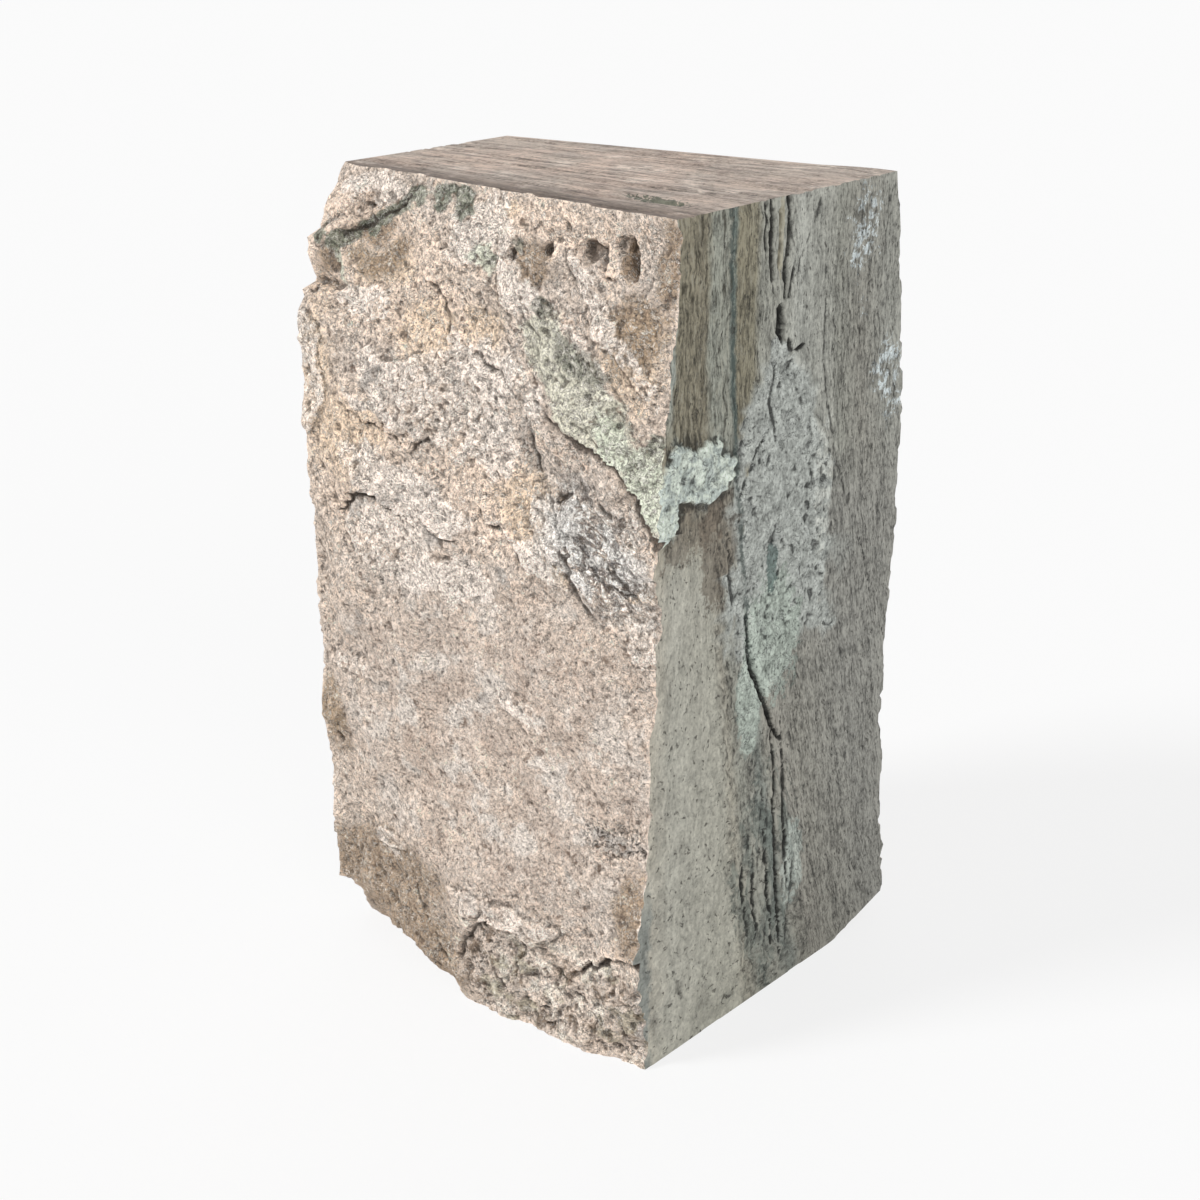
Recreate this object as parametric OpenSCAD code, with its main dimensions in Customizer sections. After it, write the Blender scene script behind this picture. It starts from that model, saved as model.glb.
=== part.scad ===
// Stone block pedestal.
// One travertine block stood on end as a stand or side table.
// The top, the base and the two ends are saw cuts, so they are true planes.
// The front and the back are natural beds of the quarry, left as they split.
// Origin at the middle of the base, +Z up, front bed towards -Y, sawn end with
// the deeper section towards +X. Millimetres.

/* [Block] */
// Width between the two sawn ends
block_w = 366; // [300:2:450]
// Overall depth, from the proudest point of one bed to that of the other
block_d = 382; // [360:2:460]
// Height from the sawn base to the sawn top
block_h = 720; // [540:10:900]

/* [Sawn top] */
// Depth of the top along the right end
top_depth_right = 272; // [220:2:290]
// Depth of the top along the left end
top_depth_left = 192; // [150:2:270]

/* [Front bed] */
// How far the front bed swells out past the top edge, at the left end
front_swell_left = 55; // [20:1:60]
// How far the front bed swells out past the top edge, at the right end
front_swell_right = 28; // [5:1:50]
// Drop below the top over which the left end reaches its full swell
front_drop_left = 95; // [60:5:250]
// Drop below the top over which the right end reaches its full swell
front_drop_right = 560; // [200:10:600]

/* [Back bed] */
// How far the back bed swells out past the top edge
back_swell = 28; // [10:1:45]
// Drop below the top over which the back bed reaches that swell
back_drop = 190; // [100:10:300]
// Height over which the foot of the back bed kicks out to the overall depth
back_foot_h = 230; // [100:10:300]

/* [Ledges] */
// Drop from the top to the foot of the upper recess in the front bed
upper_recess_drop = 48; // [35:1:60]
// Depth of the upper recess
upper_recess_depth = 9; // [0:1:20]
// Drop from the top to the lower ledge, under which the bed stands proud
lower_recess_drop = 96; // [85:1:150]
// Depth of the lower recess, above that ledge
lower_recess_depth = 24; // [0:1:35]
// Height of one recess
recess_h = 24; // [12:1:30]
// How far the recesses run in from the left end
recess_run = 130; // [40:5:260]

/* [Broken corners] */
// Height of the piece broken from the lower left corner of the front bed
corner_break_h = 60; // [10:1:90]
// Depth of that piece, measured back from the bed
corner_break_depth = 50; // [10:1:90]
// How far that break runs in from the left end
corner_break_run = 220; // [60:5:280]
// Height of the chip at the lower back corner of the right end
back_chip_h = 20; // [5:1:60]
// How far the chip reaches forward along the base
back_chip_depth = 74; // [20:2:120]
// How far the chip runs in from the right end
back_chip_run = 150; // [40:5:260]

/* [Roughness] */
// Height of the broad waves in the beds
wave_height = 9; // [0:1:14]
// Length of one broad wave
wave_length = 120; // [60:5:240]
// Height of the small knobs in the beds
knob_height = 5; // [0:0.5:8]
// Width of one knob
knob_width = 34; // [20:1:80]

/* [Hidden] */

stone = "#b9a694";          // warm grey travertine
cell = 15;                  // facet size of the rough beds
saw_allowance = 12;         // stone left past each saw cut before it is cut
arris_run = 30;             // drop over which the relief grows from the straight top edge
front_seed = 216;           // picks the pattern of the front bed
back_seed = 321;            // picks the pattern of the back bed

front_crest = 0.55 * (wave_height + knob_height);  // tallest bumps of the front bed
front_proud = front_swell_left + front_crest;      // top edge to the overall front
top_front_y = -block_d / 2 + front_proud;          // front edge of the sawn top
back_kick = block_d - front_proud - top_depth_right - back_swell;
columns = ceil((block_w + 2 * saw_allowance) / cell);
rows = ceil((block_h + 2 * saw_allowance) / cell);

// Ramp from 0 to 1 with level ends.
function ease(t) = let (c = min(1, max(0, t))) c * c * (3 - 2 * c);
function mix(a, b, t) = a + (b - a) * t;

// Repeatable scatter between 0 and 1 for one lattice point. The factors only have to
// be large and share no common divisor, so that no pattern shows.
function scatter(i, j, seed) =
    let (v = sin(i * 127.1 + j * 311.7 + seed * 74.7) * 4375.85) v - floor(v);

// Smooth noise between -1 and 1, one lattice step per unit of p and q.
function noise(p, q, seed) =
    let (
        i = floor(p), j = floor(q),
        u = ease(p - i), v = ease(q - j),
        low = mix(scatter(i, j, seed), scatter(i + 1, j, seed), u),
        high = mix(scatter(i, j + 1, seed), scatter(i + 1, j + 1, seed), u)
    )
    2 * mix(low, high, v) - 1;

// Broad waves with small knobs on them.
function bed_relief(x, z, seed) =
    wave_height * noise(x / wave_length, z / wave_length, seed)
    + knob_height * noise(x / knob_width, z / knob_width, seed + 1);

// Share of the width: 0 at the left end and 1 at the right end.
function across(x) = min(1, max(0, x / block_w + 0.5));

// A recess whose foot is a sharp ledge and whose head runs out slowly. It keeps its
// depth over the first half of its run and dies out over the same length again.
function recess(x, z, drop, depth) =
    let (above = z - (block_h - drop), inward = x + block_w / 2)
    above < 0 ? 0 : depth * ease(1 - above / recess_h) * ease(3 / 2 - inward / recess_run);

// The relief dies out towards the top edge, which the saw left straight.
function front_y(x, z) =
    let (
        s = across(x),
        fall = block_h - z,
        swell = mix(front_swell_left, front_swell_right, s * s)
            * ease(fall / mix(front_drop_left, front_drop_right, s)),
        relief = bed_relief(x, z, front_seed) * ease(fall / arris_run),
        cut = recess(x, z, upper_recess_drop, upper_recess_depth)
            + recess(x, z, lower_recess_drop, lower_recess_depth)
    )
    top_front_y - swell - relief + cut;

function back_y(x, z) =
    let (
        s = across(x),
        fall = block_h - z,
        swell = back_swell * ease(fall / back_drop) + back_kick * ease(1 - z / back_foot_h),
        relief = bed_relief(x, z, back_seed) * ease(fall / arris_run)
    )
    top_front_y + mix(top_depth_left, top_depth_right, s) + swell + relief;

function column_x(i) = -block_w / 2 - saw_allowance + i * (block_w + 2 * saw_allowance) / columns;
function row_z(j) = -saw_allowance + j * (block_h + 2 * saw_allowance) / rows;

// The quarried piece before sawing: two rough sheets of points joined at their rims.
module quarried_piece() {
    across_n = columns + 1;
    sheet_n = across_n * (rows + 1);
    function at(sheet, i, j) = sheet * sheet_n + j * across_n + i;

    points = [
        for (sheet = [0, 1]) for (j = [0 : rows]) for (i = [0 : columns])
            let (x = column_x(i), z = row_z(j))
            [x, sheet == 0 ? front_y(x, z) : back_y(x, z), z]
    ];
    front_faces = [
        for (j = [0 : rows - 1]) for (i = [0 : columns - 1]) for (half = [0, 1])
            half == 0
                ? [at(0, i, j), at(0, i, j + 1), at(0, i + 1, j + 1)]
                : [at(0, i, j), at(0, i + 1, j + 1), at(0, i + 1, j)]
    ];
    back_faces = [
        for (j = [0 : rows - 1]) for (i = [0 : columns - 1]) for (half = [0, 1])
            half == 0
                ? [at(1, i, j), at(1, i + 1, j + 1), at(1, i, j + 1)]
                : [at(1, i, j), at(1, i + 1, j), at(1, i + 1, j + 1)]
    ];
    end_faces = [
        for (j = [0 : rows - 1]) each [
            [at(0, 0, j), at(1, 0, j), at(1, 0, j + 1), at(0, 0, j + 1)],
            [at(0, columns, j), at(0, columns, j + 1), at(1, columns, j + 1), at(1, columns, j)]
        ]
    ];
    rim_faces = [
        for (i = [0 : columns - 1]) each [
            [at(0, i, 0), at(0, i + 1, 0), at(1, i + 1, 0), at(1, i, 0)],
            [at(0, i, rows), at(1, i, rows), at(1, i + 1, rows), at(0, i + 1, rows)]
        ]
    ];
    polyhedron(points, concat(front_faces, back_faces, end_faces, rim_faces), convexity = 6);
}

// What has broken off along the base at one corner: the upper face of this big slab is
// the break. It rises from the base by height over depth, and it is turned so that the
// break runs out at the base after run.
module corner_break(height, depth, run) {
    slab = 2 * (depth + height + run);
    rise = atan2(height, depth);
    turn = atan2(depth, run);
    rotate([0, 0, turn]) rotate([rise, 0, 0])
        translate([-slab / 2, -slab / 2, -slab]) cube([slab, slab, slab]);
}

module block() {
    color(stone)
    difference() {
        intersection() {
            quarried_piece();
            translate([-block_w / 2, -block_d / 2, 0]) cube([block_w, block_d, block_h]);
        }
        // Lower left corner of the front bed
        translate([-block_w / 2, front_y(-block_w / 2, 0) + corner_break_depth, 0])
            mirror([0, 1, 0])
                corner_break(corner_break_h, corner_break_depth, corner_break_run);
        // Lower back corner of the right end
        translate([block_w / 2, block_d / 2 - back_chip_depth, 0])
            mirror([1, 0, 0])
                corner_break(back_chip_h, back_chip_depth, back_chip_run);
    }
}

block();
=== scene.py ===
import math

import bmesh
import bpy
import numpy as np
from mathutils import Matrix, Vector


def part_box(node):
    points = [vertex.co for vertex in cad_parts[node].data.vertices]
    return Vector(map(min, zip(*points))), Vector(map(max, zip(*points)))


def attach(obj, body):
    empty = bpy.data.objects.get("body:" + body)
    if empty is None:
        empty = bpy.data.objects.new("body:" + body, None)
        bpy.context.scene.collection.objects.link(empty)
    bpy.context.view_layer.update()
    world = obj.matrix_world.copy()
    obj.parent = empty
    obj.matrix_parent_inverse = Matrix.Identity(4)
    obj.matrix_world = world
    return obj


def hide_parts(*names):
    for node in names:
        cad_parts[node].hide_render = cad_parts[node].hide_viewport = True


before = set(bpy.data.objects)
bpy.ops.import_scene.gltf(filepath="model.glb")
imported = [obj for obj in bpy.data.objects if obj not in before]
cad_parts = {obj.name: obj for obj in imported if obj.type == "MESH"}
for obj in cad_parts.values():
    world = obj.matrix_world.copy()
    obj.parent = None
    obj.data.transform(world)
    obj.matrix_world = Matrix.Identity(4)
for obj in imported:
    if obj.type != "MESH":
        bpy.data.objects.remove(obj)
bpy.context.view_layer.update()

# ---------------------------------------------------------------------------
# The block's shape. It is one piece of travertine, wire-sawn flat at the top,
# the base and both ends. The front and the back are natural beds, split in the
# quarry and weathered. Lengths here are millimetres in the frame of the part.
# ---------------------------------------------------------------------------
METRE = 1000.0
block_low, block_high = (np.array(corner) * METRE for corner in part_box("block"))
block_w, _, block_h = (block_high - block_low).tolist()
right_x = block_w / 2

top_depth_right = 272.0
top_depth_left = 192.0
front_swell_left = 55.0
front_swell_right = 28.0
front_drop_left = 95.0
front_drop_right = 560.0
back_swell = 28.0
back_drop = 190.0
back_foot_h = 230.0
wave_height = 9.0
wave_length = 120.0
knob_height = 5.0
knob_width = 34.0
arris_run = 30.0
front_seed = 216
back_seed = 321
front_crest = 0.55 * (wave_height + knob_height)
top_front_y = float(block_low[1]) + front_swell_left + front_crest
back_kick = float(block_high[1]) - top_front_y - top_depth_right - back_swell


def ease(t):
    t = np.clip(t, 0.0, 1.0)
    return t * t * (3.0 - 2.0 * t)


def mix(a, b, t):
    return a + (b - a) * t


def scatter(i, j, seed):
    value = np.sin(np.radians(i * 127.1 + j * 311.7 + seed * 74.7)) * 4375.85
    return value - np.floor(value)


def noise(p, q, seed):
    """Smooth noise from -1 to 1, one lattice step per unit of p and q."""
    i, j = np.floor(p), np.floor(q)
    u, v = ease(p - i), ease(q - j)
    low = mix(scatter(i, j, seed), scatter(i + 1, j, seed), u)
    high = mix(scatter(i, j + 1, seed), scatter(i + 1, j + 1, seed), u)
    return 2.0 * mix(low, high, v) - 1.0


def grain(p, q, size, seed, octaves=3):
    """Noise of several sizes, each about half the last and turned, so no grid shows."""
    total, share = 0.0, 1.0
    p, q = 0.87 * p / size + 0.49 * q / size, 0.87 * q / size - 0.49 * p / size
    for octave in range(octaves):
        total = total + share * noise(p, q, seed + 13 * octave)
        p, q = 1.62 * p + 1.18 * q + 5.3, 1.62 * q - 1.18 * p + 2.7
        share *= 0.5
    return total


def oval(p, q, centre, radii, turn=0.0):
    """Distance from a centre in radii: 0 at the centre, 1 on the oval's rim."""
    c, s = math.cos(math.radians(turn)), math.sin(math.radians(turn))
    dp, dq = p - centre[0], q - centre[1]
    return np.hypot((c * dp + s * dq) / radii[0], (c * dq - s * dp) / radii[1])


def trace(p, q, line):
    """Distance to a line of points, and the side of it: positive on its left."""
    best = np.full(p.shape, np.inf)
    side = np.zeros(p.shape)
    for (ap, aq), (bp, bq) in zip(line, line[1:]):
        dp, dq = bp - ap, bq - aq
        t = np.clip(((p - ap) * dp + (q - aq) * dq) / (dp * dp + dq * dq), 0.0, 1.0)
        distance = np.hypot(p - ap - t * dp, q - aq - t * dq)
        nearer = distance < best
        best = np.where(nearer, distance, best)
        side = np.where(nearer, np.sign(dp * (q - aq) - dq * (p - ap)), side)
    return best, side


# Open pores of the front bed: x, z, half width, half height, depth, turn.
bed_pores = [
    (22, 672, 6, 7, 9, 0),
    (57, 681, 5, 7, 9, -15),
    (98, 684, 9, 9, 11, 20),
    (110, 680, 6, 10, 9, 10),
    (127, 692, 6, 9, 6, 0),
    (138, 684, 7, 17, 12, 12),
    (117, 668, 3, 3, 6, 0),
    (75, 700, 4, 4, 3, 0),
    (66, 690, 5, 3, 3, 30),
    (-171, 622, 5, 4, 8, 0),
    (-154, 646, 8, 13, 3, 5),
    (-168, 208, 5, 6, 5, 0),
]
# Pale crusts that stand on the front bed: x, z, half width, half height, rise, turn.
bed_crusts = [
    (-8, 685, 36, 30, 3.2, 30),
    (35, 645, 46, 18, 2.6, -40),
    (-70, 550, 62, 24, 3.4, -22),
    (-25, 555, 42, 45, 1.8, 0),
    (100, 590, 62, 24, 2.0, -38),
    (176, 520, 16, 30, 3.0, -20),
    (-105, 425, 34, 26, 1.8, 0),
    (-100, 125, 22, 9, 3.0, 0),
    (50, 106, 66, 13, 5.0, 0),
    (100, 478, 10, 15, 2.5, 20),
    (-130, 292, 46, 12, 2.2, 0),
    (-176, 560, 16, 50, 2.5, 0),
    (75, 468, 30, 14, 2.0, -60),
    (55, 300, 26, 12, 1.6, -20),
    (-120, 618, 26, 14, 2.0, 0),
    (172, 390, 14, 20, 2.5, 0),
    (126, 634, 62, 9, 3.2, -46),
]
# The ledge that carries the lichen, from left to right.
lichen_ledge = [
    (76, 555), (104, 541), (124, 540), (148, 530), (158, 519),
    (164, 505), (174, 492), (183, 479), (200, 486),
]
# Ledges of the front bed: rise, reach above the line, points from left to right.
bed_ledges = [
    (3.0, 26, [(-135, 535), (-100, 520), (-80, 525), (-60, 510), (-40, 520)]),
    (4.0, 30, [(-142, 440), (-120, 457), (-95, 459), (-72, 450), (-62, 436)]),
    (3.0, 20, [(-45, 446), (-30, 436), (-15, 438)]),
    (3.0, 22, [(12, 470), (20, 458), (38, 456), (48, 444), (54, 430)]),
    (8.0, 36, lichen_ledge),
    (6.0, 24, [(0, 92), (30, 96), (75, 92), (124, 84), (155, 106), (192, 112)]),
]
# Clefts of the front bed: half width, depth, points.
bed_clefts = [
    (5, 4, [(-150, 668), (-125, 681), (-102, 696), (-84, 708)]),
    (5, 4, [(-140, 690), (-122, 668), (-112, 652)]),
    (4, 4, [(82, 668), (96, 654), (112, 640)]),
    (5, 5, [(96, 486), (104, 468), (127, 449), (150, 440), (170, 425), (188, 412)]),
    (5, 4, [(66, 500), (86, 461), (95, 436), (104, 418), (120, 406), (146, 392)]),
    (4, 4, [(78, 490), (92, 496)]),
    (4, 4, [(115, 476), (131, 467)]),
    (4, 4, [(122, 444), (140, 433), (156, 430)]),
    (4, 4, [(112, 510), (130, 492), (150, 474), (168, 462), (188, 440)]),
    (4, 3, [(-11, 590), (27, 577), (48, 559), (55, 524), (60, 500)]),
    (4, 3, [(53, 567), (79, 552), (103, 543)]),
    (5, 4, [(-70, 92), (-55, 66), (-43, 43), (-20, 5)]),
    (6, 5, [(-16, 24), (-6, 54), (4, 78), (24, 104)]),
    (5, 4, [(25, 72), (60, 50), (96, 60), (130, 40), (170, 46)]),
    (4, 3, [(10, 50), (50, 28), (100, 22)]),
    (4, 3, [(-60, 640), (-48, 625), (-40, 600)]),
]
# The dark and white streaks beside the clefts run down to the right at this slope.
streak_turn = math.radians(-36.0)
# How far the bed reaches at its left end, by height.
nub_reach = (
    [600, 622, 626, 636, 648, 664, 670, 683, 694, 703, 720],
    [52, 49, 32, 38, 42, 42, 27, 24, 18, 8, 0],
)
# Depth of the lower left corner's break, by distance from the left end.
break_depth = ([0, 80, 118, 150, 175], [43, 33, 18, 6, 0])
# Where the back bed's edge lies along the right end, by height.
back_reach = (
    [0, 67, 125, 235, 300, 411, 540, 576, 640, 720],
    [196, 191, 182, 174, 171, 177, 173, 166, 160, 147],
)


def fray(x, z):
    """Points moved a little, so that shapes drawn with them have frayed edges."""
    wx = x + 3.0 * grain(x, z, 12.0, 5) + 1.2 * grain(x, z, 4.0, 6)
    wz = z + 3.0 * grain(x, z, 12.0, 8) + 1.2 * grain(x, z, 4.0, 9)
    return wx, wz


def crust_nearness(x, z, crust):
    """Distance from a crust's centre: below 1 on the crust, above 1 off it."""
    cx, cz, rx, rz, _, turn = crust
    wx, wz = fray(x, z)
    ragged = 0.22 * grain(x, z, 14.0, 31) + 0.22 * grain(x, z, 34.0, 88)
    return oval(wx, wz, (cx, cz), (rx, rz), turn) + ragged


def cleft_openness(x, z):
    """How far a cleft gapes at a point: it opens and closes along its length."""
    return 0.15 + 0.85 * ease((grain(x, z, 15.0, 91, 2) + 0.3) / 0.7)


def front_bed(x, z):
    """How far the front bed stands out past the block's straight top edge."""
    across = np.clip(x / block_w + 0.5, 0.0, 1.0)
    fall = block_h - z
    swell = mix(front_swell_left, front_swell_right, across**2)
    swell = swell * ease(fall / mix(front_drop_left, front_drop_right, across))
    waves = wave_height * noise(x / wave_length, z / wave_length, front_seed)
    waves = waves + knob_height * noise(x / knob_width, z / knob_width, front_seed + 1)
    calm = ease(fall / arris_run)
    out = swell + waves * calm
    wx, wz = fray(x, z)

    # Towards its left foot the bed falls back a little.
    out = out - 5.0 * ease((-100.0 - x) / 60.0) * ease((230.0 - z) / 60.0)

    # Upper left: a slanting ledge over a nub, and a notch under the nub.
    above = wz - (668.0 + 0.42 * (wx + right_x))
    out = out - 7.0 * ease(1.0 - above / 30.0) * ease((above + 2.0) / 3.0) * ease((-70.0 - x) / 40.0)
    rising = 0.42 * (x + right_x) * ease((z - 640.0) / 30.0)
    nub = np.interp(z + 0.5 * (wz - z) - rising, *nub_reach)
    out = mix(out, nub, ease((-136.0 - x) / 24.0) * ease((z - 606.0) / 10.0))

    # Flaking skin: thin plates with broken rims, finer and flatter on the calm middle.
    rugged = ease((100.0 - z) / 30.0) * ease((x + 20.0) / 40.0)
    streaky = ease(1.35 - oval(x, z, (122, 462), (78, 42), -36.0))
    quiet = ease(1.4 - oval(x, z, (20, 260), (190, 170)))
    rough = (1.0 + 0.8 * rugged - 0.55 * quiet) * (0.35 + 0.65 * ease(z / 16.0))
    skin = 2.0 * ease((grain(wx, wz, 30.0, 21) - 0.05) / 0.14)
    skin = skin + 1.2 * ease((grain(wx, wz, 13.0, 24) - 0.1) / 0.18)
    skin = skin + 0.9 * grain(x, z, 7.0, 27, 2)
    skin = skin - 1.7 * ease((grain(x, z, 8.0, 33, 2) - 0.62) / 0.25)
    pocket = ease((1.3 - oval(wx, wz, (152, 212), (26, 17))) / 0.5)
    skin = skin - pocket * (1.5 + 4.0 * ease((grain(x, z, 7.0, 34, 2) - 0.1) / 0.35))
    skin = skin + rugged * (3.0 * grain(wx, wz, 22.0, 36) - 2.0 * np.abs(grain(wx, wz, 12.0, 39)))
    s_along = math.cos(streak_turn) * wx + math.sin(streak_turn) * wz
    s_across = math.cos(streak_turn) * wz - math.sin(streak_turn) * wx + 7.0 * grain(x, z, 34.0, 41)
    skin = skin + streaky * 3.0 * noise(s_along / 34.0, s_across / 7.0, 42)
    skin = skin - streaky * 2.5 * np.abs(noise(s_along / 20.0, s_across / 5.0, 45))
    out = out + rough * skin * calm

    flakes = ease((grain(wx, wz, 11.0, 79) - 0.05) / 0.15)
    for crust in bed_crusts:
        cover = ease((1.03 - crust_nearness(x, z, crust)) / 0.1) * calm
        out = out + cover * (crust[4] * (0.8 + 0.25 * grain(x, z, 9.0, 77)) + 1.1 * flakes)
    for rise, reach, line in bed_ledges:
        distance, side = trace(wx, wz, line)
        part = np.where(side > 0, ease(1.0 - distance / reach), -0.6 * ease(1.0 - distance / 9.0))
        ends = ease((x - line[0][0] + 8.0) / 16.0) * ease((line[-1][0] + 8.0 - x) / 16.0)
        out = out + rise * part * ends
    for half_w, deep, line in bed_clefts:
        distance, _ = trace(wx, wz, line)
        out = out - deep * cleft_openness(x, z) * ease(1.0 - distance / half_w)
    for cx, cz, rx, rz, deep, turn in bed_pores:
        near = oval(x + 0.5 * (wx - x), z + 0.5 * (wz - z), (cx, cz), (rx, rz), turn)
        out = out - deep * ease((1.15 - near) / 0.5)

    # The lower left corner has broken off: a rough break that slants back to the base.
    inward = x + right_x
    break_h = 56.0 * np.clip(1.0 - inward / 175.0, 0.0, 1.0) ** 0.7 + 4.0 * grain(x, z, 18.0, 3)
    slant = np.clip((break_h - z) / np.maximum(break_h, 1.0), 0.0, 1.0) ** 0.7

    # Right of the break the foot stands a little proud.
    out = out + 5.0 * ease((50.0 - z) / 35.0) * ease((x + 38.0) / 25.0) * ease((150.0 - x) / 50.0)
    return out - np.interp(inward, *break_depth) * slant


def back_bed(x, z):
    """How far the back bed lies behind the block's straight top front edge."""
    across = np.clip(x / block_w + 0.5, 0.0, 1.0)
    fall = block_h - z
    swell = back_swell * ease(fall / back_drop) + back_kick * ease(1.0 - z / back_foot_h)
    waves = wave_height * noise(x / wave_length, z / wave_length, back_seed)
    waves = waves + knob_height * noise(x / knob_width, z / knob_width, back_seed + 1)
    skin = 2.2 * ease((grain(x, z, 34.0, 121) - 0.05) / 0.3)
    skin = skin + 0.5 * grain(x, z, 14.0, 124, 2) + 1.0 * ease((grain(x, z, 18.0, 127) - 0.1) / 0.3)
    skin = skin - 1.8 * ease((grain(x, z, 14.0, 133, 2) - 0.65) / 0.3)
    out = mix(top_depth_left, top_depth_right, across) + swell + ease(fall / arris_run) * waves
    edge = np.interp(z, *back_reach) - top_front_y
    return mix(out, edge, ease((x - 110.0) / 70.0)) + ease(fall / arris_run) * skin


# Slots and cracks of the right sawn end: half width, depth, points as y, z from the top.
end_slots = [
    (3.2, 4.0, [(-17, 724), (-18, 690), (-12, 644)]),
    (3.4, 5.0, [(2, 722), (5, 685), (1, 640)]),
    (2.4, 2.5, [(-8, 712), (-6, 664)]),
    (2.2, 2.2, [(-25, 718), (-24, 676)]),
    (7.0, 9.0, [(-3, 634), (1, 606)]),
    (3.0, 3.0, [(14, 662), (6, 640)]),
    (2.6, 3.0, [(8, 606), (14, 594), (30, 598)]),
    (3.6, 8.0, [(-34, 385), (-22, 330), (0, 285), (20, 250)]),
    (2.6, 2.0, [(-4, 592), (-10, 560), (-2, 525)]),
    (2.6, 2.0, [(-18, 530), (-30, 516), (-46, 490)]),
    (2.6, 5.0, [(8, 262), (16, 190), (24, 100), (32, 24)]),
    (2.4, 4.0, [(2, 170), (12, 100), (20, 40)]),
    (2.4, 3.0, [(20, 270), (30, 180), (40, 90)]),
    (2.4, 3.0, [(-30, 150), (-24, 110), (-18, 70)]),
    (2.4, 3.0, [(-12, 130), (-4, 60)]),
    (2.6, 2.0, [(-62, 470), (-56, 430), (-50, 395)]),
    (2.4, 1.0, [(46, 712), (22, 668), (12, 640)]),
    (2.4, 1.0, [(62, 715), (56, 640), (62, 550), (92, 470), (130, 395), (150, 335)]),
]


def lens_nearness(y, z):
    """The pale lens of the right end: below 1 inside it; it is narrow at its top."""
    half = 8.0 + 54.0 * ease((622.0 - z) / 110.0)
    across = np.abs(y - 6.0 - 0.06 * (500.0 - z)) / half
    tip = 1.0 + (z - 608.0) / 20.0
    near = np.maximum(np.maximum(across, tip), (z - 372.0) / -30.0)
    return near + 0.25 * grain(y, z, 22.0, 215) + 0.1 * grain(y, z, 7.0, 216)


def edge_crust_nearness(y, z):
    """The crust that laps round the front arris of the right end: below 1 inside it."""
    near = np.minimum(oval(y, z, (-104, 520), (44, 27), -8.0), oval(y, z, (-140, 496), (24, 24)))
    return near + 0.34 * grain(y, z, 20.0, 217) + 0.16 * grain(y, z, 7.0, 218)


def end_relief(y, z):
    """Depth of the right end's open slots, pores and pitted patch below its saw cut."""
    wy = y + 1.6 * grain(y, z, 26.0, 205)
    deep = 0.0
    for half_w, depth, line in end_slots:
        distance, _ = trace(wy, z, line)
        middle_z, half_z = (line[0][1] + line[-1][1]) / 2, abs(line[0][1] - line[-1][1]) / 2 + 4.0
        taper = 1.0 - ((z - middle_z) / half_z) ** 2
        broken = 0.25 * grain(y, z, 9.0, 207)
        cut = 1.15 * np.clip(taper, 0.0, 1.0) ** 0.4 + broken - distance / half_w
        deep = np.maximum(deep, depth * ease(cut))
    lens = ease((1.0 - lens_nearness(y, z)) / 0.12)
    pits = 1.0 * ease((grain(y, z, 8.0, 210) - 0.45) / 0.4) - 0.7 * grain(y, z, 18.0, 212)
    deep = deep + lens * (0.6 + pits)
    dark = ease((1.1 - oval(y, z, (10, 120), (40, 100), 10.0)) / 0.3)
    deep = deep + dark * 1.2 * ease((grain(wy * 4.0, z * 0.35, 22.0, 220) - 0.05) / 0.4)
    front_crust = ease((1.0 - edge_crust_nearness(y, z)) / 0.1)
    knobs = ease((1.0 - oval(y, z, (62, 470), (14, 70), 6.0) - 0.3 * grain(y, z, 12.0, 223)) / 0.2)
    flake = 0.5 * ease((grain(y, z * 0.5, 16.0, 225) - 0.1) / 0.15)
    return deep + flake - front_crust * (2.6 + 0.8 * grain(y, z, 8.0, 227)) - 1.6 * knobs


def top_relief(x, y):
    """Depth of the top's open void and of its long shallow seams."""
    void_line = [(98, -77), (118, -80), (146, -82)]
    void = trace(x, y + 1.5 * grain(x, y, 18.0, 305), void_line)[0]
    slope = y + 0.2 * (right_x - x)
    streak = ease((grain(x * 0.12, slope, 9.0, 310) - 0.35) / 0.3)
    return 7.0 * ease(1.15 - void / 5.0) + 0.9 * streak


def arris_wear(p, size, seed):
    """Small random nicks along a sawn edge: how much of the edge is lost, 0 to 1."""
    return ease((grain(p, 0.0 * p, size, seed) - 0.25) / 0.8)


def lattice_block(cells):
    """A unit cube with every side cut into even rows along each direction."""
    bm = bmesh.new()
    bmesh.ops.create_cube(bm, size=1.0)
    for axis, count in enumerate(cells):
        edges = [e for e in bm.edges if abs(e.verts[0].co[axis] - e.verts[1].co[axis]) > 0.5]
        bmesh.ops.subdivide_edges(bm, edges=edges, cuts=count - 1, use_grid_fill=True)
    mesh = bpy.data.meshes.new("travertine_block")
    # Material 0 is for the beds, which face along y, 1 for the ends and 2 for top and base.
    for face in bm.faces:
        face.material_index = (1, 0, 2)[max(range(3), key=lambda axis: abs(face.normal[axis]))]
        face.smooth = True
    bm.to_mesh(mesh)
    bm.free()
    return mesh


cell_mm = 2.1
side_cell_mm = 2.4
cells = (round(block_w / cell_mm), round(top_depth_right / side_cell_mm), round(block_h / cell_mm))
mesh = lattice_block(cells)
unit = np.empty(len(mesh.vertices) * 3)
mesh.vertices.foreach_get("co", unit)
unit = unit.reshape(-1, 3)
on_left = unit[:, 0] < -0.4999
on_right = unit[:, 0] > 0.4999
on_top = unit[:, 2] > 0.4999
on_back = unit[:, 1] > 0.49
x = unit[:, 0] * block_w
z = (unit[:, 2] + 0.5) * block_h
front_y = top_front_y - front_bed(x, z)
back_y = top_front_y + back_bed(x, z)

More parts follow.
